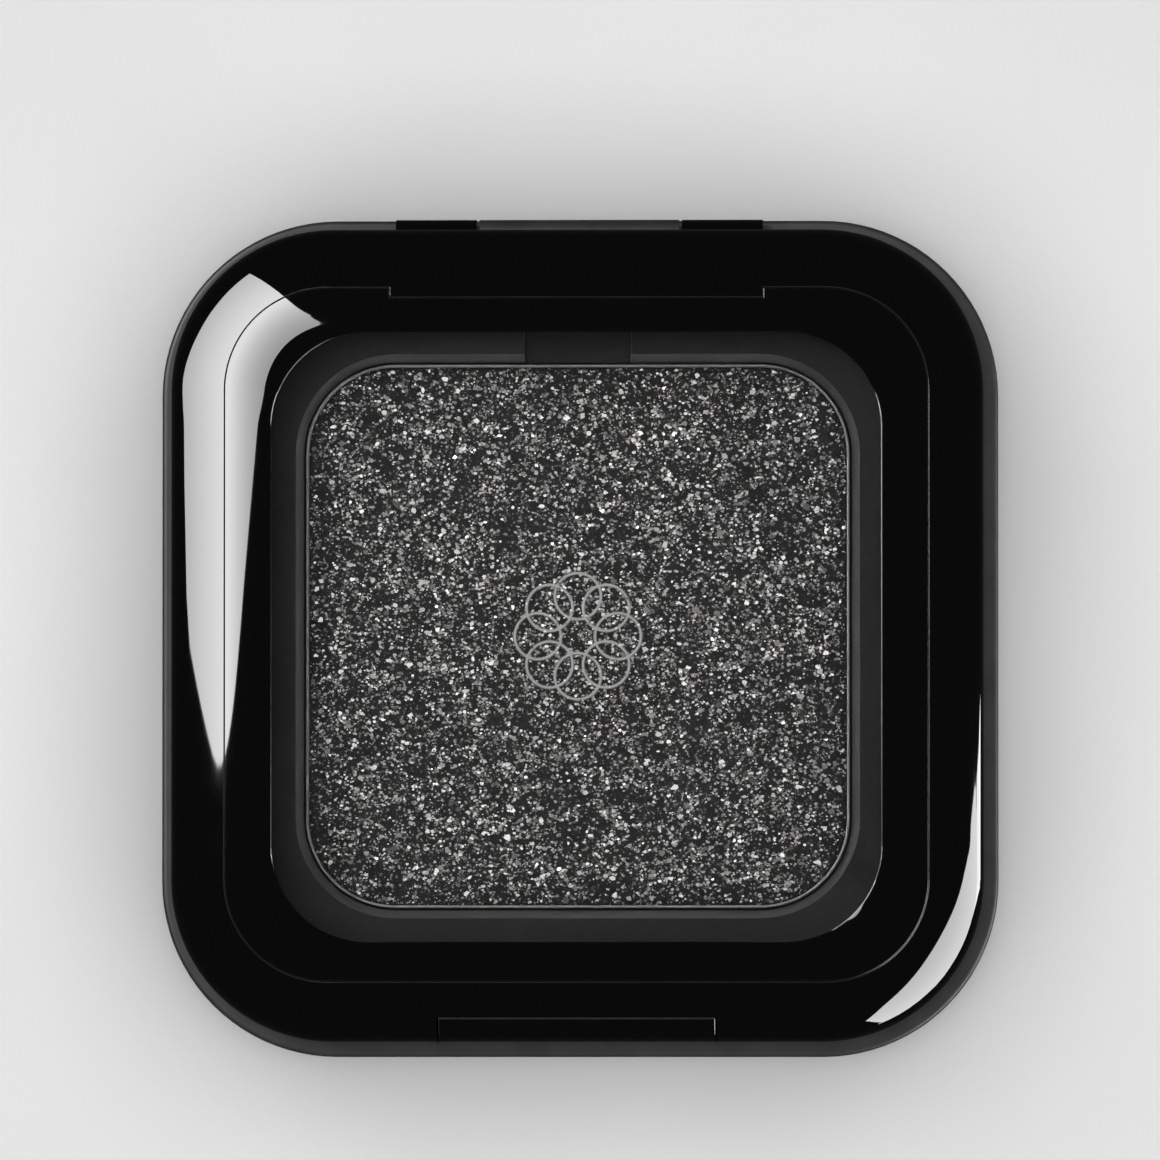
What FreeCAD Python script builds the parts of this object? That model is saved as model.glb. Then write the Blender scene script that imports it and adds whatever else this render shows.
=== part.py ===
import FreeCAD, Part
import math
import os

# Single-pan eyeshadow compact, about 42 x 42 x 13 mm, closed.
# Origin: centre of the underside.  +Z up, +Y towards the hinge, -Y towards the push button.
# A shallow base shell carries the tray, the pan and the button.  A domed lid ring with an
# inset window bezel and a clear pane closes over it and turns on a pin along the rear edge.

V = FreeCAD.Vector
X_AXIS = V(1, 0, 0)
Z_AXIS = V(0, 0, 1)

# ---- overall -------------------------------------------------------------------------------
HEIGHT = 13.0
BASE_HALF = 21.0            # half the width of the base, the widest part
ARC_CENTRE = 12.2           # every corner arc of the shells is struck from (+-12.2, +-12.2)
PARTING_Z = 5.0             # top of the base rim
PARTING_GAP = 0.1

# ---- base shell ----------------------------------------------------------------------------
FLOOR = 1.2
BASE_FOOT_HALF = 19.2
BASE_STEP_Z = 3.5           # the tray skirt stands on this step
BASE_LOW_HALF = 17.6
BASE_RIM_HALF = 19.0
POST_RADIUS = 1.5
POST_AT = 8.0
LABEL_HALF = 11.0
LABEL_RECESS = 0.15
LABEL_THICK = 0.12

# ---- lid -----------------------------------------------------------------------------------
CREST_HALF = 15.25          # highest line of the dome
DOME_RADIUS = 7.23
DOME_END_DEG = 40.0
SHOULDER_RADIUS = 1.0
WALL_DRAFT_DEG = 1.6
SKIRT_HALF = 20.4
SKIRT_INNER = 19.3
SEAM_X = 17.5               # middle of the seam round the window bezel
SEAM_Y = 17.25
SEAM_CORNER = 5.1
SEAM_GAP = 0.015            # each side of the seam line
SEAM_ROUND = 0.03
KEY_HALF = 9.3              # the rear edge of the bezel steps forward over this half width
KEY_STEP = 0.5
RING_LEDGE_Z = 11.5
RING_LEDGE_HALF = 18.1
RING_CAVITY_Z = 10.4

# ---- window --------------------------------------------------------------------------------
WINDOW_HALF = 15.15
WINDOW_SHIFT = -0.12
WINDOW_CORNER = 4.75
WINDOW_ROUND = 0.06
PANE_TOP = 12.45
PANE_THICK = 1.2
PANE_LAP = 0.65
BEZEL_BOTTOM = 10.9

# ---- tray, pan and powder ------------------------------------------------------------------
TRAY_TOP = 9.3
TRAY_PLATE = 1.2
TRAY_HALF = 18.9
TRAY_SKIRT = 0.8
POCKET_HALF = 13.68
POCKET_CORNER = 4.58
POCKET_CHAMFER = 0.4
POCKET_WALL = 0.8
POCKET_FLOOR_Z = 6.3
PAD_THICK = 0.2
PAN_HALF = 13.58
PAN_WALL = 0.15
PAN_TOP = 9.2
POWDER_TOP = 8.95
NOTCH_WIDTH = 5.3
NOTCH_DEPTH = 0.8
NOTCH_END_Y = 16.4

# ---- hinge ---------------------------------------------------------------------------------
HINGE_Y = 20.3
HINGE_Z = 5.85
BARREL_RADIUS = 0.7
PIN_RADIUS = 0.35
PIN_CLEARANCE = 0.03
PIN_HALF = 9.0
BASE_KNUCKLE_HALF = 5.0
LID_KNUCKLE_START = 5.15
LID_KNUCKLE_END = 9.2
BARREL_GAP = 0.15

# ---- push button ---------------------------------------------------------------------------
BUTTON_HALF = 6.9
BUTTON_GAP = 0.08
BUTTON_ROUND = 0.06
BUTTON_TOP = 11.88
BUTTON_BOTTOM = 5.15
BUTTON_BACK_Y = -19.36      # lower part, in front of the tray skirt
BUTTON_LIP_Y = -18.98       # top lip, above the tray
BUTTON_LIP_Z = 9.6
BUTTON_TRAVEL = 0.45
STEM_HALF = 2.4
STEM_LOW = 5.6
STEM_HIGH = 7.0
CLIP_HALF = 3.4
CLIP_FRONT_Y = -18.05
CLIP_BACK_Y = -17.3
SPRING_STRIP = 0.14
SPRING_WIDTH = 2.2
SPRING_LEG = 1.0
SPRING_LEGS = 6
SPRING_Z = 6.3

# ---- latch ---------------------------------------------------------------------------------
HOOK_HALF = 3.0
HOOK_FRONT_Y = -18.5
HOOK_BACK_Y = -18.12
HOOK_LOW = 7.5
TOE_REACH = 0.3
TOE_HEIGHT = 0.5


def rounded_outline(half_x, half_y, corner, z, centre_y=0.0):
    """Closed wire: a rectangle with circular corners, flat at height z."""
    cx = half_x - corner
    cy = half_y - corner
    edges = []
    for turn in range(4):
        start = math.radians(90 * turn)
        sx = 1 if turn in (0, 3) else -1
        sy = 1 if turn in (0, 1) else -1
        centre = V(sx * cx, sy * cy + centre_y, z)
        points = []
        for part in (0.0, 0.5, 1.0):
            angle = start + part * math.pi / 2
            points.append(centre + V(corner * math.cos(angle), corner * math.sin(angle), 0))
        edges.append(Part.Arc(*points).toShape())
    joined = []
    for i in range(4):
        joined.append(edges[i])
        here = edges[i].lastVertex().Point
        there = edges[(i + 1) % 4].firstVertex().Point
        joined.append(Part.makeLine(here, there))
    return Part.Wire(joined)


def slab(half_x, half_y, corner, low, high, centre_y=0.0):
    """Upright prism on a rounded rectangle."""
    face = Part.Face(rounded_outline(half_x, half_y, corner, low, centre_y))
    return face.extrude(V(0, 0, high - low))


def shell_slab(half, low, high):
    """Prism whose corners share the centres of the outer shells."""
    return slab(half, half, half - ARC_CENTRE, low, high)


def box(x0, x1, y0, y1, z0, z1):
    return Part.makeBox(x1 - x0, y1 - y0, z1 - z0, V(x0, y0, z0))


def rod_x(radius, x0, x1, y, z):
    return Part.makeCylinder(radius, x1 - x0, V(x0, y, z), X_AXIS)


def edges_at(shape, z):
    """Edges lying flat at height z."""
    found = []
    for edge in shape.Edges:
        box_of_edge = edge.BoundBox
        if abs(box_of_edge.ZMin - z) < 1e-4 and abs(box_of_edge.ZMax - z) < 1e-4:
            found.append(edge)
    return found


def cushion(profile):
    """Solid swept round a square from a half section.

    profile is a list of edges in the XZ plane, measured from the corner centres, and it
    closes back to the line x = 0.
    """
    face = Part.Face(Part.Wire(profile))
    height = face.BoundBox
    pieces = [box(-ARC_CENTRE, ARC_CENTRE, -ARC_CENTRE, ARC_CENTRE, height.ZMin, height.ZMax)]
    for turn in range(4):
        side = face.copy()
        side.translate(V(ARC_CENTRE, -ARC_CENTRE, 0))
        side = side.extrude(V(0, 2 * ARC_CENTRE, 0))
        side.rotate(V(0, 0, 0), Z_AXIS, 90 * turn)
        corner = face.copy()
        corner.translate(V(ARC_CENTRE, ARC_CENTRE, 0))
        corner = corner.revolve(V(ARC_CENTRE, ARC_CENTRE, 0), Z_AXIS, 90)
        corner.rotate(V(0, 0, 0), Z_AXIS, 90 * turn)
        pieces += [side, corner]
    return pieces[0].multiFuse(pieces[1:]).removeSplitter()


def arc_edge(centre, radius, from_deg, to_deg):
    """Arc in the XZ plane; the angle is measured from +X towards +Z."""
    points = []
    for part in (0.0, 0.5, 1.0):
        angle = math.radians(from_deg + part * (to_deg - from_deg))
        points.append(centre + V(radius * math.cos(angle), 0, radius * math.sin(angle)))
    return Part.Arc(*points).toShape()


def close_with_lines(edges, corners):
    """Join the end of the last edge to the first edge through the given corners."""
    stops = [edges[-1].lastVertex().Point] + corners + [edges[0].firstVertex().Point]
    return edges + [Part.makeLine(a, b) for a, b in zip(stops, stops[1:])]


def lid_cushion():
    """Dome, shoulder and drafted wall of the closed lid, as one solid block."""
    crest = CREST_HALF - ARC_CENTRE
    dome_centre = V(crest, 0, HEIGHT - DOME_RADIUS)
    dome = arc_edge(dome_centre, DOME_RADIUS, 90, 90 - DOME_END_DEG)
    end = dome.lastVertex().Point
    inward = V(-math.sin(math.radians(DOME_END_DEG)), 0, -math.cos(math.radians(DOME_END_DEG)))
    shoulder_centre = end + inward * SHOULDER_RADIUS
    shoulder = arc_edge(shoulder_centre, SHOULDER_RADIUS, 90 - DOME_END_DEG, WALL_DRAFT_DEG)
    top = Part.makeLine(V(0, 0, HEIGHT), V(crest, 0, HEIGHT))
    chamfer = 0.12
    low = PARTING_Z + PARTING_GAP
    wall_end = V(SKIRT_HALF - ARC_CENTRE, 0, low + chamfer)
    wall = Part.makeLine(shoulder.lastVertex().Point, wall_end)
    bottom = [wall_end - V(chamfer, 0, chamfer), V(0, 0, low)]
    return cushion(close_with_lines([top, dome, shoulder, wall], bottom))


def base_cushion():
    """Outside of the base: rounded foot, upright wall and a small round on the rim."""
    out = BASE_HALF - ARC_CENTRE
    foot = BASE_HALF - BASE_FOOT_HALF
    rim = 0.25
    foot_arc = arc_edge(V(out - foot, 0, foot), foot, -90, 0)
    rim_arc = arc_edge(V(out - rim, 0, PARTING_Z - rim), rim, 0, 90)
    wall = Part.makeLine(foot_arc.lastVertex().Point, rim_arc.firstVertex().Point)
    floor = Part.makeLine(V(0, 0, 0), foot_arc.firstVertex().Point)
    return cushion(close_with_lines([floor, foot_arc, wall, rim_arc], [V(0, 0, PARTING_Z)]))


def middle_of(edge):
    return edge.valueAt((edge.FirstParameter + edge.LastParameter) / 2)


def reach_of(edge):
    """How far the middle of the edge lies from the centre, along X or Y."""
    p = middle_of(edge)
    return max(abs(p.x), abs(p.y))


def seam_edges(shape, gap):
    """Edges that follow the seam on the dome."""
    half_x = SEAM_X - gap
    half_y = SEAM_Y - gap
    corner = SEAM_CORNER - gap
    found = []
    for edge in shape.Edges:
        points = [vertex.Point for vertex in edge.Vertexes] + [middle_of(edge)]
        on_seam = True
        for p in points:
            qx = abs(p.x) - half_x + corner
            qy = abs(p.y) - half_y + corner
            off = math.hypot(max(qx, 0), max(qy, 0)) + min(max(qx, qy), 0) - corner
            on_key = abs(p.x) < KEY_HALF + 0.1 and half_y - KEY_STEP - 0.01 < p.y < half_y + 0.01
            on_seam = on_seam and p.z > 12.2 and (abs(off) < 1e-3 or on_key)
        if on_seam:
            found.append(edge)
    return found


def seam_outline(gap, low, high):
    """Prism inside the seam; a negative gap gives the opening in the ring."""
    prism = slab(SEAM_X - gap, SEAM_Y - gap, SEAM_CORNER - gap, low, high)
    key_front = SEAM_Y - KEY_STEP - gap
    key = box(-KEY_HALF - gap, KEY_HALF + gap, key_front, SEAM_Y + 1, low - 1, high + 1)
    return prism.cut(key)


def base_shell():
    shell = base_cushion()
    lower = shell_slab(BASE_LOW_HALF, FLOOR, BASE_STEP_Z + 0.5)
    lower = lower.makeFillet(0.8, edges_at(lower, FLOOR))
    shell = shell.cut(lower)
    shell = shell.cut(shell_slab(BASE_RIM_HALF, BASE_STEP_Z, PARTING_Z + 1))
    label_seat = slab(LABEL_HALF + 0.1, LABEL_HALF + 0.1, 3.1, -1, LABEL_RECESS)
    shell = shell.cut(label_seat)
    post_top = POCKET_FLOOR_Z - POCKET_WALL
    for sx in (-1, 1):
        for sy in (-1, 1):
            foot = V(sx * POST_AT, sy * POST_AT, FLOOR - 0.2)
            shell = shell.fuse(Part.makeCylinder(POST_RADIUS, post_top - FLOOR + 0.2, foot))
    # Hinge knuckle on a web that stands on the rim.
    half = BASE_KNUCKLE_HALF
    knuckle = rod_x(BARREL_RADIUS, -half, half, HINGE_Y, HINGE_Z)
    web = box(-half, half, HINGE_Y - 0.45, HINGE_Y + 0.45, PARTING_Z - 0.3, HINGE_Z)
    shell = shell.fuse(knuckle).fuse(web)
    bore = rod_x(PIN_RADIUS + PIN_CLEARANCE, -half - 1, half + 1, HINGE_Y, HINGE_Z)
    return shell.cut(bore).removeSplitter()


def base_label():
    return slab(LABEL_HALF, LABEL_HALF, 3.0, LABEL_RECESS - LABEL_THICK, LABEL_RECESS)


def inner_tray():
    plate_low = TRAY_TOP - TRAY_PLATE
    tray = shell_slab(TRAY_HALF, BASE_STEP_Z, TRAY_TOP)
    inside = shell_slab(TRAY_HALF - TRAY_SKIRT, BASE_STEP_Z - 1, plate_low)
    tray = tray.cut(inside)
    outer = POCKET_HALF + POCKET_WALL
    pocket_low = POCKET_FLOOR_Z - POCKET_WALL
    tray = tray.fuse(slab(outer, outer, POCKET_CORNER + POCKET_WALL, pocket_low, plate_low + 0.1))
    pocket = slab(POCKET_HALF, POCKET_HALF, POCKET_CORNER, POCKET_FLOOR_Z, TRAY_TOP + 1)
    tray = tray.cut(pocket)
    # Chamfer round the mouth of the pocket and a round on the outer top edge.
    tray = tray.makeChamfer(POCKET_CHAMFER, [e for e in edges_at(tray, TRAY_TOP) if reach_of(e) < 15])
    tray = tray.makeFillet(0.2, [e for e in edges_at(tray, TRAY_TOP) if reach_of(e) > 15])
    half = NOTCH_WIDTH / 2
    notch_low = TRAY_TOP - NOTCH_DEPTH
    tray = tray.cut(box(-half, half, POCKET_HALF - 1, NOTCH_END_Y, notch_low, TRAY_TOP + 1))
    flanks = []
    for edge in edges_at(tray, TRAY_TOP):
        p = middle_of(edge)
        if abs(abs(p.x) - half) < 1e-3 and p.y > 0:
            flanks.append(edge)
    tray = tray.makeFillet(0.1, flanks)
    # Slot for the lid hook and window for the button stem.
    hook_gap = 0.15
    slot_half = HOOK_HALF + 0.25
    slot_back = HOOK_BACK_Y + TOE_REACH + hook_gap
    tray = tray.cut(box(-slot_half, slot_half, -TRAY_HALF - 1, slot_back, HOOK_LOW - 0.15, TRAY_TOP + 1))
    skirt_in = -TRAY_HALF + TRAY_SKIRT
    window = box(-STEM_HALF - 0.08, STEM_HALF + 0.08, -TRAY_HALF - 1, skirt_in + 0.1,
                 STEM_LOW - 0.08, STEM_HIGH + 0.08)
    return tray.cut(window).removeSplitter()


def pan():
    low = POCKET_FLOOR_Z + PAD_THICK
    corner = POCKET_CORNER - (POCKET_HALF - PAN_HALF)
    dish = slab(PAN_HALF, PAN_HALF, corner, low, PAN_TOP)
    dish = dish.makeFillet(0.5, edges_at(dish, low))
    inner_half = PAN_HALF - PAN_WALL
    inner = slab(inner_half, inner_half, corner - PAN_WALL, low + PAN_WALL, PAN_TOP + 1)
    inner = inner.makeFillet(0.4, edges_at(inner, low + PAN_WALL))
    dish = dish.cut(inner)
    return dish.makeFillet(0.05, edges_at(dish, PAN_TOP))


def pan_pad():
    return slab(10.0, 10.0, 2.0, POCKET_FLOOR_Z, POCKET_FLOOR_Z + PAD_THICK)


def petal_ring():
    """Raised eight-petal outline on the powder."""
    height = 0.12
    line = 0.2
    ring = None
    for i in range(8):
        angle = math.radians(45 * i)
        at = V(2.0 * math.cos(angle), 2.0 * math.sin(angle), POWDER_TOP - 0.1)
        outer = Part.makeCylinder(1.25, height + 0.1, at)
        inner = Part.makeCylinder(1.25 - line, height + 0.3, at - V(0, 0, 0.1))
        petal = outer.cut(inner)
        ring = petal if ring is None else ring.fuse(petal)
    return ring


def powder():
    low = POCKET_FLOOR_Z + PAD_THICK + PAN_WALL
    half = PAN_HALF - PAN_WALL
    corner = POCKET_CORNER - (POCKET_HALF - PAN_HALF) - PAN_WALL
    cake = slab(half, half, corner, low, POWDER_TOP)
    cake = cake.makeFillet(0.4, edges_at(cake, low))
    cake = cake.makeFillet(0.18, edges_at(cake, POWDER_TOP))
    return cake.fuse(petal_ring()).removeSplitter()


def lid_ring():
    ring = lid_cushion()
    low = PARTING_Z + PARTING_GAP
    ring = ring.cut(shell_slab(SKIRT_INNER, low - 1, RING_CAVITY_Z))
    ring = ring.cut(shell_slab(RING_LEDGE_HALF, RING_CAVITY_Z - 0.1, RING_LEDGE_Z))
    ring = ring.cut(seam_outline(-SEAM_GAP, RING_LEDGE_Z - 0.1, HEIGHT + 1))
    ring = ring.makeFillet(SEAM_ROUND, seam_edges(ring, -SEAM_GAP))
    # Notch in the front skirt for the push button.
    wide = BUTTON_HALF + BUTTON_GAP
    ring = ring.cut(box(-wide, wide, -BASE_HALF - 1, HOOK_FRONT_Y, 0, BUTTON_TOP + 0.05))
    # Hook that reaches down through the tray.
    hook = box(-HOOK_HALF, HOOK_HALF, HOOK_FRONT_Y, HOOK_BACK_Y, HOOK_LOW, RING_CAVITY_Z + 0.3)
    toe = box(-HOOK_HALF, HOOK_HALF, HOOK_BACK_Y - 0.1, HOOK_BACK_Y + TOE_REACH,
              HOOK_LOW, HOOK_LOW + TOE_HEIGHT)
    ring = ring.fuse(hook).fuse(toe)
    # Hinge knuckles either side of the one on the base.
    clear = BARREL_RADIUS + BARREL_GAP
    middle = LID_KNUCKLE_START
    ring = ring.cut(rod_x(clear, -middle, middle, HINGE_Y, HINGE_Z))
    ring = ring.cut(box(-middle, middle, HINGE_Y - clear - 1, HINGE_Y + clear, 0, HINGE_Z))
    for sign in (-1, 1):
        x0, x1 = sorted((sign * LID_KNUCKLE_START, sign * LID_KNUCKLE_END))
        ring = ring.fuse(rod_x(BARREL_RADIUS, x0, x1, HINGE_Y, HINGE_Z))
    bore = rod_x(PIN_RADIUS + PIN_CLEARANCE, -PIN_HALF - 0.05, PIN_HALF + 0.05, HINGE_Y, HINGE_Z)
    return ring.cut(bore).removeSplitter()


def window_bezel():
    frame = lid_cushion().common(seam_outline(SEAM_GAP, BEZEL_BOTTOM, HEIGHT + 1))
    frame = frame.makeFillet(SEAM_ROUND, seam_edges(frame, SEAM_GAP))
    flange = shell_slab(RING_LEDGE_HALF - 0.1, BEZEL_BOTTOM, RING_LEDGE_Z)
    frame = frame.fuse(flange).removeSplitter()
    opening = slab(WINDOW_HALF, WINDOW_HALF, WINDOW_CORNER, 0, HEIGHT + 1, WINDOW_SHIFT)
    frame = frame.cut(opening)
    lap = WINDOW_HALF + PANE_LAP + 0.05
    seat = slab(lap, lap, WINDOW_CORNER + PANE_LAP, 0, PANE_TOP, WINDOW_SHIFT)
    frame = frame.cut(seat)
    inner_edges = []
    for edge in edges_at(frame, HEIGHT):
        reach = edge.BoundBox
        if max(abs(reach.XMin), abs(reach.XMax), abs(reach.YMin), abs(reach.YMax)) < 15.3:
            inner_edges.append(edge)
    return frame.makeFillet(WINDOW_ROUND, inner_edges)


def window_pane():
    half = WINDOW_HALF + PANE_LAP
    low = PANE_TOP - PANE_THICK
    pane = slab(half, half, WINDOW_CORNER + PANE_LAP, low, PANE_TOP, WINDOW_SHIFT)
    return pane.makeChamfer(0.1, edges_at(pane, low))


def hinge_pin():
    pin = rod_x(PIN_RADIUS, -PIN_HALF, PIN_HALF, HINGE_Y, HINGE_Z)
    return pin.makeChamfer(0.08, pin.Edges[:1] + pin.Edges[2:])


def push_button():
    reach = box(-BUTTON_HALF, BUTTON_HALF, -BASE_HALF, BUTTON_BACK_Y, BUTTON_BOTTOM, BUTTON_TOP)
    reach = reach.fuse(box(-BUTTON_HALF, BUTTON_HALF, -BASE_HALF, BUTTON_LIP_Y, BUTTON_LIP_Z, BUTTON_TOP))
    cap = lid_cushion().common(reach)
    rounded = []
    for edge in cap.Edges:
        p = middle_of(edge)
        in_front = p.y < BUTTON_LIP_Y - 0.07
        on_top = abs(p.z - BUTTON_TOP) < 1e-3 and abs(p.x) < 1
        on_side = abs(abs(p.x) - BUTTON_HALF) < 1e-3 and BUTTON_BOTTOM + 0.01 < p.z < BUTTON_TOP - 0.01
        on_back = abs(p.y - BUTTON_BACK_Y) < 1e-3
        if in_front and not on_back and (on_top or on_side):
            rounded.append(edge)
    cap = cap.makeFillet(BUTTON_ROUND, rounded)
    stem = box(-STEM_HALF, STEM_HALF, BUTTON_BACK_Y - 0.2, CLIP_BACK_Y, STEM_LOW, STEM_HIGH)
    clip = box(-CLIP_HALF, CLIP_HALF, CLIP_FRONT_Y, CLIP_BACK_Y, STEM_LOW, STEM_HIGH)
    return cap.fuse(stem).fuse(clip).removeSplitter()


def button_spring():
    """Serpentine strip spring: upright legs joined by half rings at alternate ends."""
    start = CLIP_BACK_Y + 0.02
    end = -(POCKET_HALF + POCKET_WALL) - 0.02
    pitch = (end - start - SPRING_STRIP) / (SPRING_LEGS - 1)
    half = SPRING_WIDTH / 2
    low = SPRING_Z - SPRING_LEG / 2
    high = SPRING_Z + SPRING_LEG / 2
    outer = (pitch + SPRING_STRIP) / 2
    inner = (pitch - SPRING_STRIP) / 2
    spring = None
    for i in range(SPRING_LEGS):
        y = start + i * pitch
        leg = box(-half, half, y, y + SPRING_STRIP, low, high)
        spring = leg if spring is None else spring.fuse(leg)
        if i == SPRING_LEGS - 1:
            break
        middle = y + SPRING_STRIP / 2 + pitch / 2
        bend_z = high if i % 2 == 0 else low
        ring = rod_x(outer, -half, half, middle, bend_z).cut(rod_x(inner, -half, half, middle, bend_z))
        if i % 2 == 0:
            ring = ring.common(box(-half, half, y - 1, y + 2, bend_z, bend_z + 1))
        else:
            ring = ring.common(box(-half, half, y - 1, y + 2, bend_z - 1, bend_z))
        spring = spring.fuse(ring)
    return spring.removeSplitter()


NODES = {
    "base_shell": base_shell,
    "base_label": base_label,
    "inner_tray": inner_tray,
    "pan_pad": pan_pad,
    "pan": pan,
    "powder": powder,
    "push_button": push_button,
    "button_spring": button_spring,
    "hinge_pin": hinge_pin,
    "lid_ring": lid_ring,
    "window_bezel": window_bezel,
    "window_pane": window_pane,
}


def solid_of(shape):
    """The one closed solid of a shape."""
    if len(shape.Solids) != 1:
        raise RuntimeError("expected one solid, found %d" % len(shape.Solids))
    return shape.Solids[0]


os.makedirs("parts", exist_ok=True)
for node, build in NODES.items():
    solid = solid_of(build())
    if not solid.isValid():
        raise RuntimeError("%s is not a valid solid" % node)
    solid.exportStep("parts/%s.step" % node)
    size = solid.BoundBox
    print("%-14s %7.2f mm3  x %.2f..%.2f  y %.2f..%.2f  z %.2f..%.2f" % (
        node, solid.Volume, size.XMin, size.XMax, size.YMin, size.YMax, size.ZMin, size.ZMax))
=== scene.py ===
import math
import random

import bpy
from mathutils import Matrix, Vector, noise


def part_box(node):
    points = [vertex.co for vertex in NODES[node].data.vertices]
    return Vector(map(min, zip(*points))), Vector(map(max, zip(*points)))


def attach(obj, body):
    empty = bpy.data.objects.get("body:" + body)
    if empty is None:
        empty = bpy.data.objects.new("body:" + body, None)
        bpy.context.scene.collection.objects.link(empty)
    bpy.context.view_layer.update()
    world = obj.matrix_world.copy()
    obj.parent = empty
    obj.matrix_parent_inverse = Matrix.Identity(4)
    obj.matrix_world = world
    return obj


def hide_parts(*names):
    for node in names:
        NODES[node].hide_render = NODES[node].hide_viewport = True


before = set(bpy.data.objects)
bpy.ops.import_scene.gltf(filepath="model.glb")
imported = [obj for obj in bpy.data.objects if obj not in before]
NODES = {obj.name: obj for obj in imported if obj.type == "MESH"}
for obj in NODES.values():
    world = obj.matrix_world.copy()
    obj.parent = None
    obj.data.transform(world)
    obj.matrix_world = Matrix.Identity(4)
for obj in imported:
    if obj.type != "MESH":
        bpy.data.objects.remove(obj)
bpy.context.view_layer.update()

MM = 0.001


# ---- the lid's dome ------------------------------------------------------------------------

LID_TOP = 13.0 * MM
ARC_CENTRE = 12.2 * MM
CREST_RADIUS = 3.05 * MM
DOME_RADIUS = 7.23 * MM
DOME_BASE = LID_TOP - DOME_RADIUS
DOME_END = 0.64
CORNER_EASE = 2.0 * MM
# Painted edge highlight: lighter base colour on the dome's edges, standing in for light caught by the seam
# and button fillets.
PAINTED_EDGE_HIGHLIGHT_TINT = (0.011, 0.011, 0.011)
EDGE_DEPTH = 0.05 * MM


# ---- shader helpers ------------------------------------------------------------------------

class Shader:
    """Small wrapper that builds one node material."""

    def __init__(self, name):
        self.material = bpy.data.materials.new(name)
        self.material.use_nodes = True
        self.tree = self.material.node_tree
        self.bsdf = self.tree.nodes["Principled BSDF"]
        self.output = self.tree.nodes["Material Output"]
        self.coords = self.add("ShaderNodeTexCoord").outputs["Object"]

    def add(self, kind, **settings):
        node = self.tree.nodes.new(kind)
        for key, value in settings.items():
            setattr(node, key, value)
        return node

    def link(self, source, target):
        self.tree.links.new(source, target)

    def set(self, **values):
        for key, value in values.items():
            self.bsdf.inputs[key.replace("_", " ")].default_value = value

    def noise(self, scale, detail=4.0, roughness=0.5, stretch=None):
        node = self.add("ShaderNodeTexNoise")
        node.inputs["Scale"].default_value = scale
        node.inputs["Detail"].default_value = detail
        node.inputs["Roughness"].default_value = roughness
        source = self.coords
        if stretch:
            mapping = self.add("ShaderNodeMapping")
            mapping.inputs["Scale"].default_value = stretch
            self.link(self.coords, mapping.inputs["Vector"])
            source = mapping.outputs["Vector"]
        self.link(source, node.inputs["Vector"])
        return node.outputs["Fac"]

    def ramp(self, source, stops):
        node = self.add("ShaderNodeValToRGB")
        ramp = node.color_ramp
        while len(ramp.elements) < len(stops):
            ramp.elements.new(0.5)
        for element, (position, colour) in zip(ramp.elements, stops):
            element.position = position
            if isinstance(colour, (int, float)):
                colour = (colour, colour, colour)
            element.color = (*colour, 1.0)
        self.link(source, node.inputs["Fac"])
        return node.outputs["Color"]

    def scaled(self, source, low, high, start=0.0, end=1.0):
        node = self.add("ShaderNodeMapRange")
        node.inputs["From Min"].default_value = start
        node.inputs["From Max"].default_value = end
        node.inputs["To Min"].default_value = low
        node.inputs["To Max"].default_value = high
        self.link(source, node.inputs["Value"])
        return node.outputs["Result"]

    def bump(self, height, strength, distance):
        node = self.add("ShaderNodeBump")
        node.inputs["Strength"].default_value = strength
        node.inputs["Distance"].default_value = distance
        self.link(height, node.inputs["Height"])
        return node.outputs["Normal"]

    def math(self, operation, *values):
        node = self.add("ShaderNodeMath", operation=operation)
        for socket, value in zip(node.inputs, values):
            self.feed(value, socket)
        return node.outputs["Value"]

    def vector(self, operation, *values):
        node = self.add("ShaderNodeVectorMath", operation=operation)
        for socket, value in zip(node.inputs, values):
            self.feed(value, socket)
        return node.outputs["Vector"]

    def feed(self, value, socket):
        if isinstance(value, bpy.types.NodeSocket):
            self.link(value, socket)
        else:
            socket.default_value = value

    def mix(self, factor, first, second):
        """Colour blend from first to second."""
        node = self.add("ShaderNodeMix", data_type="RGBA")
        self.feed(factor, node.inputs["Factor"])
        for key, value in (("A", first), ("B", second)):
            if isinstance(value, tuple):
                value = (*value, 1.0)
            self.feed(value, self.socket(node, key, "RGBA"))
        return self.socket_out(node, "RGBA")

    def socket(self, node, key, kind):
        return next(i for i in node.inputs if i.name == key and i.type == kind)

    def socket_out(self, node, kind):
        return next(o for o in node.outputs if o.name == "Result" and o.type == kind)

    def use_normal(self, normal):
        self.link(normal, self.bsdf.inputs["Normal"])


def eased_offset(s, folded):
    """Offset from the corner centres that starts to turn a little before the corner begins."""
    wide = (CORNER_EASE, CORNER_EASE, 0.0)
    near = s.vector("MINIMUM", s.vector("MAXIMUM", folded, (-CORNER_EASE, -CORNER_EASE, 0.0)), wide)
    near = s.vector("ADD", near, wide)
    gain = 0.25 / CORNER_EASE
    curve = s.vector("MULTIPLY", s.vector("MULTIPLY", near, near), (gain, gain, 0.0))
    beyond = s.vector("MAXIMUM", s.vector("SUBTRACT", folded, wide), (0.0, 0.0, 0.0))
    return s.vector("ADD", curve, beyond)


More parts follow.
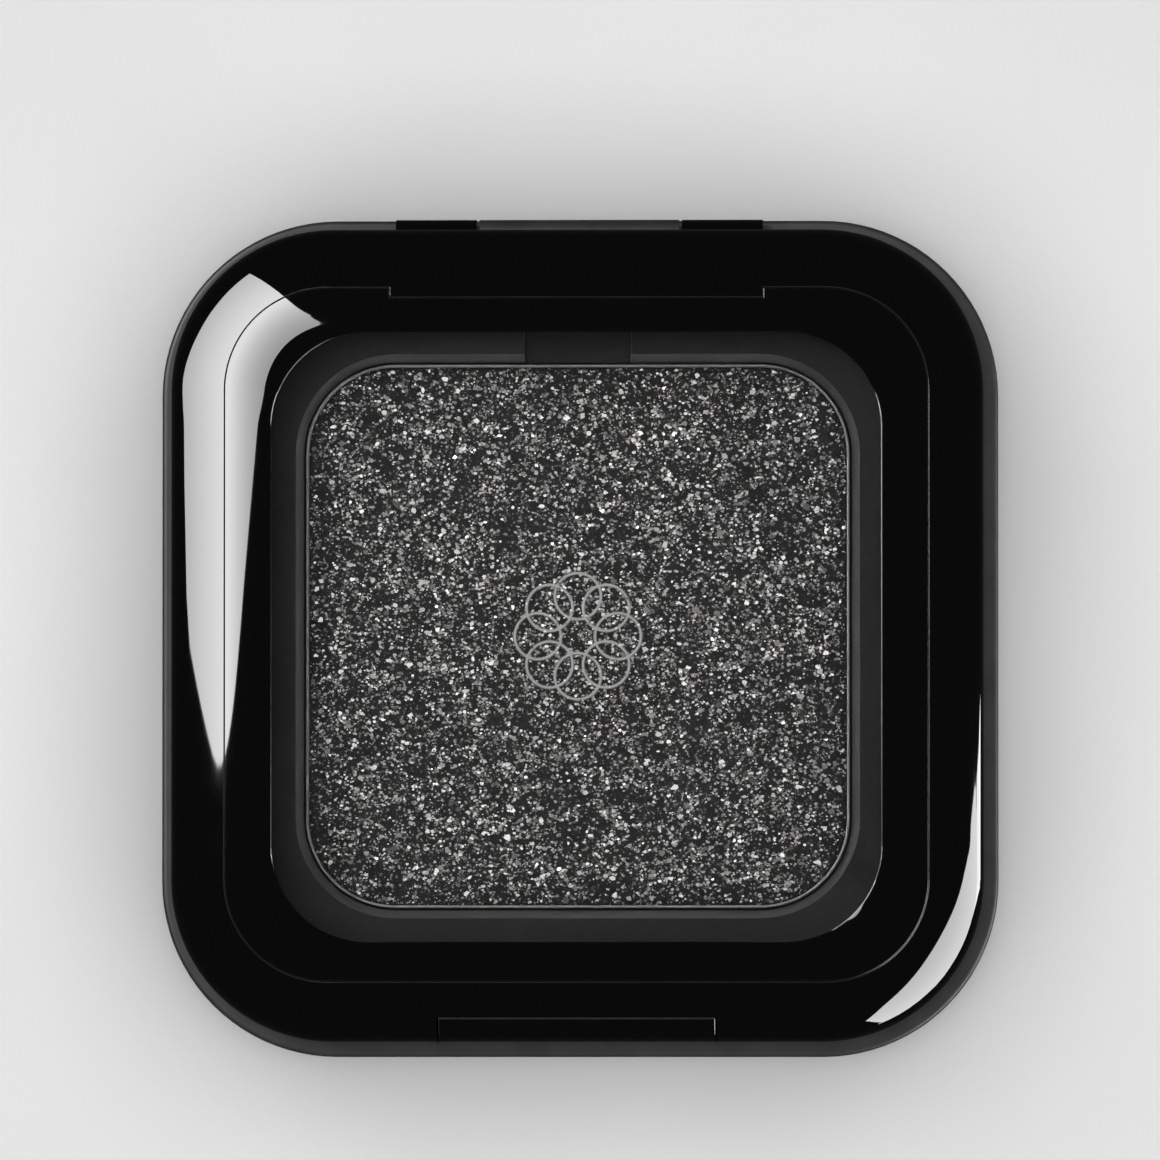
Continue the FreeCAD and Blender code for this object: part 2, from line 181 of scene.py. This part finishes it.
def dome_shape(s):
    """True surface of the lid's dome, worked out from the position.

    Gives the outward direction, eased at the corners, and the mesh's own; the share of the dome's
    radius reached (0 at the crest); the distance below the dome; 1 where the mesh follows the dome
    (0 on edges and walls); and 1 within the dome's width.
    """
    folded = s.vector("SUBTRACT", s.vector("ABSOLUTE", s.coords), (ARC_CENTRE, ARC_CENTRE, 1.0))
    offset = s.vector("MAXIMUM", folded, (0.0, 0.0, 0.0))
    length = s.add("ShaderNodeVectorMath", operation="LENGTH")
    s.link(offset, length.inputs[0])
    radius = length.outputs["Value"]
    share = s.math("DIVIDE", s.math("SUBTRACT", radius, CREST_RADIUS), DOME_RADIUS)
    rise = s.math("SQRT", s.math("MAXIMUM", s.math("SUBTRACT", 1.0, s.math("MULTIPLY", share, share)), 0.01))
    eased = eased_offset(s, folded)
    signed = s.vector("MULTIPLY", s.vector("NORMALIZE", eased), s.vector("SIGN", s.coords))
    outward = s.add("ShaderNodeVectorMath", operation="SCALE")
    s.link(signed, outward.inputs[0])
    s.link(share, outward.inputs["Scale"])
    upright = s.add("ShaderNodeCombineXYZ")
    s.link(rise, upright.inputs["Z"])
    local = s.vector("ADD", outward.outputs["Vector"], upright.outputs["Vector"])
    turned = s.add("ShaderNodeVectorTransform", vector_type="NORMAL", convert_from="OBJECT",
                   convert_to="WORLD")
    s.link(local, turned.inputs["Vector"])
    normal = s.vector("NORMALIZE", turned.outputs["Vector"])
    mesh_normal = s.add("ShaderNodeNewGeometry").outputs["Normal"]
    dot = s.add("ShaderNodeVectorMath", operation="DOT_PRODUCT")
    s.link(normal, dot.inputs[0])
    s.link(mesh_normal, dot.inputs[1])
    close = s.scaled(dot.outputs["Value"], 0.0, 1.0, 0.985, 0.992)
    on_dome = s.math("LESS_THAN", s.math("ABSOLUTE", share), DOME_END)
    height = s.add("ShaderNodeSeparateXYZ")
    s.link(s.coords, height.inputs[0])
    top = s.math("ADD", s.math("MULTIPLY", rise, DOME_RADIUS), DOME_BASE)
    depth = s.math("SUBTRACT", top, height.outputs["Z"])
    return normal, mesh_normal, share, depth, close, on_dome


def gloss_black(name, tint):
    """Piano-black moulding: deep gloss, faint haze and a painted highlight, a lighter base colour on edges
    near the dome that stands in for the light they catch.
    """
    s = Shader(name)
    s.set(IOR=1.6)
    normal, mesh_normal, share, depth, close, on_dome = dome_shape(s)
    mottled = s.noise(900.0, 3.0)
    body = s.ramp(mottled, [(0.3, tuple(c * 0.8 for c in tint)), (0.75, tint)])
    # Painted highlight: edges just below the dome's surface, past the crest, get a lighter base colour in
    # place of the light their fillets catch.
    shallow = s.math("LESS_THAN", depth, EDGE_DEPTH)
    past_crest = s.math("GREATER_THAN", share, 0.08)
    edge_highlight_mask = s.math("MULTIPLY", s.math("MULTIPLY", shallow, past_crest), s.math("SUBTRACT", 1.0, close))
    edge_highlight_mask = s.math("MULTIPLY", edge_highlight_mask, on_dome)
    painted_edge_highlight = s.mix(edge_highlight_mask, body, PAINTED_EDGE_HIGHLIGHT_TINT)
    s.link(painted_edge_highlight, s.bsdf.inputs["Base Color"])
    hazy = s.noise(350.0, 5.0, 0.6)
    cut = s.math("MULTIPLY", s.math("SUBTRACT", 1.0, close), on_dome)
    s.link(s.math("ADD", s.scaled(hazy, 0.005, 0.03), s.math("MULTIPLY", cut, 0.12)),
           s.bsdf.inputs["Roughness"])
    smooth = s.math("MULTIPLY", close, on_dome)
    blended = s.add("ShaderNodeMix", data_type="VECTOR")
    s.link(smooth, blended.inputs["Factor"])
    s.link(mesh_normal, s.socket(blended, "A", "VECTOR"))
    s.link(normal, s.socket(blended, "B", "VECTOR"))
    s.use_normal(s.socket_out(blended, "VECTOR"))
    return s.material


def satin_black(name, level, grain, shine, slant_highlight_level=None):
    """Moulded satin plastic with a fine spark-eroded grain and, if asked, a painted highlight: slanted faces
    get a paler base colour, standing in for the light they catch.
    """
    s = Shader(name)
    s.set(IOR=1.5, Specular_IOR_Level=shine)
    tone = s.noise(600.0, 4.0)
    body = s.ramp(tone, [(0.25, level * 0.8), (0.75, level * 1.2)])
    if slant_highlight_level:
        # Painted highlight: faces slanted near 45 degrees get the paler colour, in place of the light that
        # chamfers catch.
        slope = s.add("ShaderNodeSeparateXYZ")
        s.link(s.add("ShaderNodeNewGeometry").outputs["True Normal"], slope.inputs[0])
        slant_highlight_mask = s.math("COMPARE", slope.outputs["Z"], 0.707, 0.12)
        body = s.mix(slant_highlight_mask, body, (slant_highlight_level, slant_highlight_level, slant_highlight_level))
    s.link(body, s.bsdf.inputs["Base Color"])
    s.link(s.scaled(s.noise(1800.0, 3.0), 0.3, 0.5), s.bsdf.inputs["Roughness"])
    s.use_normal(s.bump(s.noise(9000.0, 2.0), grain, 0.00003))
    return s.material


def sheet_metal(name, level, roughness, stretch):
    """Rolled or drawn metal with directional grain."""
    s = Shader(name)
    s.set(Metallic=1.0)
    grain = s.noise(2500.0, 3.0, 0.5, stretch=stretch)
    s.link(s.ramp(grain, [(0.3, level * 0.85), (0.7, level)]), s.bsdf.inputs["Base Color"])
    s.link(s.scaled(grain, roughness * 0.8, roughness * 1.3), s.bsdf.inputs["Roughness"])
    s.use_normal(s.bump(grain, 0.15, 0.00002))
    return s.material


def clear_plastic(name):
    """Clear pane: it refracts for the eye and lets light through to what lies below."""
    s = Shader(name)
    s.set(Base_Color=(0.985, 0.988, 0.99, 1.0), IOR=1.49, Transmission_Weight=1.0)
    s.link(s.scaled(s.noise(700.0, 4.0), 0.0, 0.03), s.bsdf.inputs["Roughness"])
    path = s.add("ShaderNodeLightPath")
    through = s.add("ShaderNodeBsdfTransparent")
    through.inputs["Color"].default_value = (0.93, 0.93, 0.93, 1.0)
    mix = s.add("ShaderNodeMixShader")
    s.link(path.outputs["Is Shadow Ray"], mix.inputs["Fac"])
    s.link(s.bsdf.outputs["BSDF"], mix.inputs[1])
    s.link(through.outputs["BSDF"], mix.inputs[2])
    s.link(mix.outputs["Shader"], s.output.inputs["Surface"])
    return s.material


def powder_material(name):
    """Charcoal pressed powder full of tiny angular specks; raised lines are coloured a lighter grey."""
    s = Shader(name)
    s.set(Roughness=0.85, IOR=1.4, Specular_IOR_Level=0.08)
    clumps = s.noise(2600.0, 6.0, 0.65)
    body = s.ramp(clumps, [(0.35, (0.0045, 0.0043, 0.0041)), (0.7, (0.0105, 0.0101, 0.0097))])
    drift = s.scaled(s.noise(1100.0, 3.0, 0.6), -0.12, 0.1, 0.25, 0.75)
    raised = s.add("ShaderNodeAttribute", attribute_name="raised")
    for scale in (8000.0, 13500.0):
        cells = s.add("ShaderNodeTexVoronoi")
        cells.inputs["Scale"].default_value = scale
        s.link(s.coords, cells.inputs["Vector"])
        tone = s.add("ShaderNodeSeparateColor")
        s.link(cells.outputs["Color"], tone.inputs["Color"])
        chance = s.math("ADD", tone.outputs["Red"], drift)
        present = s.ramp(chance, [(0.9, 0.0), (0.92, 1.0)])
        shade = s.ramp(tone.outputs["Green"], [(0.2, (0.03, 0.0292, 0.028)), (1.0, (0.26, 0.254, 0.245))])
        body = s.mix(present, body, shade)
    body = s.mix(raised.outputs["Fac"], body, (0.2, 0.197, 0.192))
    s.link(body, s.bsdf.inputs["Base Color"])
    s.use_normal(s.bump(s.noise(9000.0, 3.0, 0.7), 0.5, 0.00006))
    return s.material


def glitter_material(name):
    """Silver mica flakes, each with its own tone."""
    s = Shader(name)
    s.set(Metallic=0.35, Roughness=0.42, IOR=1.6)
    tone = s.add("ShaderNodeAttribute", attribute_name="tone")
    dark = (0.012, 0.0117, 0.0113)
    middle = (0.09, 0.088, 0.085)
    bright = (0.6, 0.585, 0.565)
    colour = s.ramp(tone.outputs["Fac"], [(0.0, dark), (0.3, middle), (1.0, bright)])
    s.link(colour, s.bsdf.inputs["Base Color"])
    s.use_normal(s.bump(s.noise(14000.0, 2.0), 0.3, 0.00002))
    return s.material


def paper_material(name):
    s = Shader(name)
    s.set(Roughness=0.55)
    fibre = s.noise(1800.0, 6.0, 0.7)
    s.link(s.ramp(fibre, [(0.3, 0.018), (0.7, 0.03)]), s.bsdf.inputs["Base Color"])
    s.use_normal(s.bump(fibre, 0.2, 0.00002))
    return s.material


def foam_material(name):
    s = Shader(name)
    s.set(Roughness=0.9)
    cells = s.noise(4000.0, 3.0, 0.8)
    s.link(s.ramp(cells, [(0.3, 0.4), (0.7, 0.62)]), s.bsdf.inputs["Base Color"])
    s.use_normal(s.bump(cells, 0.5, 0.0001))
    return s.material


def dress(node, material):
    mesh = NODES[node].data
    mesh.materials.clear()
    mesh.materials.append(material)


# ---- camera --------------------------------------------------------------------------------

CAMERA_DISTANCE = 0.75
FRAME_WIDTH = 0.0581
SENSOR = 36.0
LEAN_RIGHT = math.radians(1.4)
LEAN_FRONT = math.radians(1.8)
AIM = Vector((0.05 * MM, 2.88 * MM, 7.0 * MM))


def add_camera():
    data = bpy.data.cameras.new("camera")
    data.sensor_width = SENSOR
    data.lens = SENSOR * CAMERA_DISTANCE / FRAME_WIDTH
    data.clip_start = 0.01
    data.clip_end = 10.0
    camera = bpy.data.objects.new("camera", data)
    bpy.context.scene.collection.objects.link(camera)
    back = Vector((math.sin(LEAN_RIGHT), -math.sin(LEAN_FRONT), 1.0)).normalized()
    right = Vector((0, 1, 0)).cross(back).normalized()
    up = back.cross(right)
    matrix = Matrix((right, up, back)).transposed().to_4x4()
    matrix.translation = AIM + back * CAMERA_DISTANCE
    camera.matrix_world = matrix
    bpy.context.scene.camera = camera


# ---- meshes --------------------------------------------------------------------------------

def add_mesh(name, verts, faces, smooth=False):
    mesh = bpy.data.meshes.new(name)
    mesh.from_pydata(verts, [], faces)
    mesh.update()
    obj = bpy.data.objects.new(name, mesh)
    bpy.context.scene.collection.objects.link(obj)
    if smooth:
        for polygon in mesh.polygons:
            polygon.use_smooth = True
    return obj


# ---- light and floor -----------------------------------------------------------------------

LEFT_DISTANCE = 0.5
LEFT_STRENGTH = 14.0
RIGHT_DISTANCE = 0.45
RIGHT_STRENGTH = 13.0
SOFT_DISTANCE = 0.7
SOFT_SLANT = 48
TOP_STRENGTH = 5.0
BELOW_STRENGTH = 3.0


def direction(azimuth_deg, off_vertical_deg):
    azimuth = math.radians(azimuth_deg)
    off = math.radians(off_vertical_deg)
    return Vector((math.cos(azimuth) * math.sin(off), math.sin(azimuth) * math.sin(off), math.cos(off)))


def smooth_outline(guides, steps=6):
    """Closed curve that rounds off a few guide directions; a guide given twice stays a sharp corner."""
    outline = []
    for index, guide in enumerate(guides):
        before = guides[index - 1]
        after = guides[(index + 1) % len(guides)]
        for step in range(steps):
            along = step / steps
            leave = 0.5 * (1 - along) ** 2
            hold = 0.5 + along - along * along
            reach = 0.5 * along * along
            outline.append(tuple(
                leave * a + hold * b + reach * c for a, b, c in zip(before, guide, after)))
    return outline


def profile_curve(tree, source, stops):
    """Smooth brightness curve through (position, level) stops, both from 0 to 1."""
    node = tree.nodes.new("ShaderNodeValToRGB")
    while len(node.color_ramp.elements) < len(stops):
        node.color_ramp.elements.new(0.5)
    for element, (position, value) in zip(node.color_ramp.elements, stops):
        element.position = position
        element.color = (value, value, value, 1.0)
    tree.links.new(source, node.inputs["Fac"])
    return node.outputs["Color"]


def light_panel(name, corners, distance, strength, by_height):
    """Curved glowing panel that fills the given directions as seen from the object.

    by_height gives the brightness against the cosine of the angle from the vertical.
    """
    points = [direction(*corner) * distance for corner in corners]
    panel = add_mesh(name, points, [tuple(range(len(points)))])
    material = bpy.data.materials.new(name)
    material.use_nodes = True
    tree = material.node_tree
    tree.nodes.clear()
    emission = tree.nodes.new("ShaderNodeEmission")
    output = tree.nodes.new("ShaderNodeOutputMaterial")
    tree.links.new(emission.outputs[0], output.inputs["Surface"])
    place = tree.nodes.new("ShaderNodeTexCoord")
    ray = tree.nodes.new("ShaderNodeVectorMath")
    ray.operation = "NORMALIZE"
    tree.links.new(place.outputs["Object"], ray.inputs[0])
    split = tree.nodes.new("ShaderNodeSeparateXYZ")
    tree.links.new(ray.outputs[0], split.inputs[0])
    level = profile_curve(tree, split.outputs["Z"], by_height)
    scale = tree.nodes.new("ShaderNodeMath")
    scale.operation = "MULTIPLY"
    scale.inputs[1].default_value = strength
    tree.links.new(level, scale.inputs[0])
    tree.links.new(scale.outputs[0], emission.inputs["Strength"])
    panel.data.materials.append(material)
    panel.visible_camera = False
    return panel


def square_around(off_vertical_deg):
    """Four directions round the vertical, evenly spaced."""
    return [(azimuth, off_vertical_deg) for azimuth in (-135, -45, 45, 135)]


# Guide directions of the side panels, as (azimuth, angle from the vertical) in degrees.
LEFT_GUIDES = [(126, 72), (126, 72), (155, 73), (178, 80), (179, 60), (180, 38), (176, 24), (165, 12),
               (140, 7), (118, 8), (115, 18), (115, 18)]
RIGHT_GUIDES = [(1, 110), (1, 110), (0, 88), (0, 66), (-28, 55), (-60, 62), (-72, 72), (-72, 72),
                (-50, 98), (-15, 90)]


def add_stage():
    size = 1.5
    low = -0.02 * MM
    corners = [(-size, -size, low), (size, -size, low), (size, size, low), (-size, size, low)]
    floor = add_mesh("floor", corners, [(0, 1, 2, 3)])
    s = Shader("floor")
    s.set(Roughness=0.7)
    s.link(s.ramp(s.noise(40.0, 3.0), [(0.3, 0.33), (0.7, 0.35)]), s.bsdf.inputs["Base Color"])
    # From below the floor is clear, so that the underside of the part can be looked at.
    through = s.add("ShaderNodeBsdfTransparent")
    mix = s.add("ShaderNodeMixShader")
    s.link(s.add("ShaderNodeNewGeometry").outputs["Backfacing"], mix.inputs["Fac"])
    s.link(s.bsdf.outputs["BSDF"], mix.inputs[1])
    s.link(through.outputs["BSDF"], mix.inputs[2])
    s.link(mix.outputs["Shader"], s.output.inputs["Surface"])
    floor.data.materials.append(s.material)
    floor.visible_glossy = False
    floor.visible_shadow = False
    world = bpy.data.worlds.new("studio")
    world.use_nodes = True
    world.node_tree.nodes["Background"].inputs["Color"].default_value = (0.9, 0.95, 1.0, 1.0)
    world.node_tree.nodes["Background"].inputs["Strength"].default_value = 0.04
    bpy.context.scene.world = world
    left_levels = [(0.2, 0.5), (0.8, 1.0), (1.0, 0.4)]
    right_levels = [(0.0, 1.0), (0.5, 0.7)]
    left_outline = smooth_outline(LEFT_GUIDES)
    right_outline = smooth_outline(RIGHT_GUIDES)
    left = light_panel("panel_left", left_outline, LEFT_DISTANCE, LEFT_STRENGTH, left_levels)
    right = light_panel("panel_right", right_outline, RIGHT_DISTANCE, RIGHT_STRENGTH, right_levels)
    for strip in (left, right):
        strip.visible_diffuse = False
    even = [(0.0, 1.0)]
    top = light_panel("panel_top", square_around(SOFT_SLANT), SOFT_DISTANCE, TOP_STRENGTH, even)
    below = light_panel("panel_below", square_around(180 - SOFT_SLANT), SOFT_DISTANCE, BELOW_STRENGTH, even)
    for soft in (top, below):
        soft.visible_glossy = False
        soft.visible_transmission = False
    bpy.context.scene.view_settings.view_transform = "Standard"


# ---- pressed powder -------------------------------------------------------------------------

POWDER_HALF = 13.43 * MM
POWDER_CORNER = 4.33 * MM
PETALS = 8
PETAL_CENTRE = 2.0 * MM
PETAL_RADIUS = 1.15 * MM
LINE_HALF = 0.065 * MM
EMBOSS = 0.1 * MM
MARK_REACH = 3.5 * MM
MARK_BOUND = 4.0 * MM
CAKE_DROP = 0.17 * MM


def rounded_square(half, corner, count):
    """Evenly spaced points round a square with circular corners."""
    flat = 2 * (half - corner)
    arc = corner * math.pi / 2
    side = flat + arc
    points = []
    for i in range(count):
        s = i * 4 * side / count
        turn = int(s // side)
        along = s - turn * side
        if along < flat:
            p = Vector((half, -half + corner + along))
        else:
            a = (along - flat) / corner
            p = Vector((half - corner + corner * math.cos(a), half - corner + corner * math.sin(a)))
        points.append(Matrix.Rotation(turn * math.pi / 2, 2) @ p)
    return points


def edge_distance(x, y, half, corner):
    """Distance inwards from the outline of a rounded square."""
    qx = abs(x) - (half - corner)
    qy = abs(y) - (half - corner)
    outside = math.hypot(max(qx, 0.0), max(qy, 0.0))
    return corner - outside - min(max(qx, qy), 0.0)


def motif(x, y):
    """1 on the raised petal outlines, 0 away from them, with soft flanks."""
    value = 0.0
    for i in range(PETALS):
        a = 2 * math.pi * i / PETALS
        d = math.hypot(x - PETAL_CENTRE * math.cos(a), y - PETAL_CENTRE * math.sin(a))
        off = abs(d - PETAL_RADIUS)
        value = max(value, 1.0 - min(1.0, max(0.0, (off - LINE_HALF * 0.5) / LINE_HALF)))
    return value * value * (3 - 2 * value)


def powder_height(x, y, top):
    """Surface height of the cake with grain, slow unevenness and a softened border."""
    inset = edge_distance(x, y, POWDER_HALF, POWDER_CORNER)
    border = math.exp(-inset / (0.25 * MM))
    p = Vector((x, y, 0.0)) / MM
    grain = noise.fractal(p * 5.0, 0.8, 2.2, 4)
    slow = noise.noise(p * 0.35)
    return top - 0.12 * MM * border + 0.016 * MM * grain + 0.02 * MM * slow


def add_powder():
    low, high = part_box("powder")
    top = high.z - CAKE_DROP
    around = 640
    outline = rounded_square(POWDER_HALF, POWDER_CORNER, around)
    fine = 110
    coarse = 120
    reach = MARK_REACH / POWDER_HALF
    steps = [reach * (i + 1) / fine for i in range(fine)]
    steps += [reach + (1 - reach) * (i + 1) / coarse for i in range(coarse)]
    verts = [Vector((0, 0, powder_height(0, 0, top)))]
    raised = [0.0]
    for t in steps:
        for p in outline:
            x = p.x * t
            y = p.y * t
            mark = motif(x, y) if t <= reach + 0.05 else 0.0
            verts.append(Vector((x, y, powder_height(x, y, top) + EMBOSS * mark)))
            raised.append(mark)
    faces = []
    for j in range(around):
        faces.append((0, 1 + j, 1 + (j + 1) % around))
    rings = len(steps)
    for i in range(rings - 1):
        a = 1 + i * around
        b = a + around
        for j in range(around):
            k = (j + 1) % around
            faces.append((a + j, b + j, b + k, a + k))
    rim = 1 + (rings - 1) * around
    base = len(verts)
    for j in range(around):
        v = verts[rim + j]
        verts.append(Vector((v.x, v.y, low.z)))
        raised.append(0.0)
    for j in range(around):
        k = (j + 1) % around
        faces.append((rim + j, base + j, base + k, rim + k))
    faces.append(tuple(base + around - 1 - j for j in range(around)))
    cake = add_mesh("powder_cake", verts, faces, smooth=True)
    attribute = cake.data.attributes.new("raised", "FLOAT", "POINT")
    attribute.data.foreach_set("value", raised)
    cake.data.materials.append(powder_material("powder_charcoal"))
    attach(cake, "base")
    return top


FLAKES = 14000
FLAKE_MM = 0.07
FLAKE_SMALLEST_MM = 0.035
FLAKE_LARGEST_MM = 0.18
FLAKE_TILT_DEG = 14


def add_glitter(top):
    """Thin closed platelets pressed into the surface of the cake, in loose clusters."""
    rng = random.Random(11)
    verts = []
    faces = []
    tones = []
    placed = 0
    while placed < FLAKES:
        x = rng.uniform(-POWDER_HALF, POWDER_HALF)
        y = rng.uniform(-POWDER_HALF, POWDER_HALF)
        inset = edge_distance(x, y, POWDER_HALF, POWDER_CORNER)
        if inset < 0.12 * MM:
            continue
        p = Vector((x, y, 0.0)) / MM
        cluster = noise.fractal(p * 1.3, 0.7, 2.1, 3)
        keep = min(1.0, max(0.12, 0.5 + 0.9 * cluster))
        if abs(x) < MARK_BOUND and abs(y) < MARK_BOUND:
            keep *= 1.0 - 0.6 * motif(x, y)
        keep *= min(1.0, 0.45 + inset / (2.5 * MM))
        if rng.random() > keep:
            continue
        placed += 1
        size = rng.lognormvariate(math.log(FLAKE_MM), 0.4)
        size = min(max(size, FLAKE_SMALLEST_MM), FLAKE_LARGEST_MM) * MM
        tilt_axis = rng.uniform(0, 2 * math.pi)
        tilt = math.radians(rng.gauss(0, FLAKE_TILT_DEG))
        turn = Matrix.Rotation(tilt, 3, Vector((math.cos(tilt_axis), math.sin(tilt_axis), 0)))
        lift = EMBOSS * motif(x, y) if abs(x) < MARK_BOUND and abs(y) < MARK_BOUND else 0.0
        centre = Vector((x, y, powder_height(x, y, top) + lift + 0.012 * MM))
        sides = rng.choice((4, 5, 6))
        start = len(verts)
        phase = rng.uniform(0, 2 * math.pi)
        stretch = rng.uniform(0.6, 1.0)
        for i in range(sides):
            a = phase + 2 * math.pi * (i + rng.uniform(-0.25, 0.25)) / sides
            r = size * rng.uniform(0.7, 1.2)
            verts.append(centre + turn @ Vector((r * math.cos(a), r * math.sin(a) * stretch, 0.05 * size)))
        verts.append(centre + turn @ Vector((0, 0, -0.35 * size)))
        faces.append(tuple(range(start, start + sides)))
        for i in range(sides):
            faces.append((start + sides, start + (i + 1) % sides, start + i))
        tone = rng.betavariate(1.1, 1.8)
        tones += [tone] * (sides + 1)
    flakes = add_mesh("glitter_flakes", verts, faces)
    attribute = flakes.data.attributes.new("tone", "FLOAT", "POINT")
    attribute.data.foreach_set("value", tones)
    flakes.data.materials.append(glitter_material("glitter_silver"))
    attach(flakes, "base")


# ---- build ----------------------------------------------------------------------------------

add_camera()
add_stage()

black = (0.0006, 0.0006, 0.0006)
dress("lid_ring", gloss_black("lid_gloss", black))
dress("window_bezel", gloss_black("bezel_gloss", black))
dress("push_button", gloss_black("button_gloss", black))
dress("base_shell", satin_black("base_satin", 0.021, 0.05, 0.2))
dress("inner_tray", satin_black("tray_satin", 0.0045, 0.2, 0.12, 0.03))
dress("pan", sheet_metal("pan_aluminium", 0.16, 0.5, (1.0, 1.0, 8.0)))
dress("pan_pad", foam_material("pad_foam"))
dress("base_label", paper_material("label_film"))
dress("window_pane", clear_plastic("pane_clear"))
dress("hinge_pin", sheet_metal("pin_steel", 0.5, 0.25, (8.0, 1.0, 1.0)))
dress("button_spring", sheet_metal("spring_steel", 0.45, 0.3, (8.0, 1.0, 1.0)))

powder_top = add_powder()
add_glitter(powder_top)
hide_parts("powder")
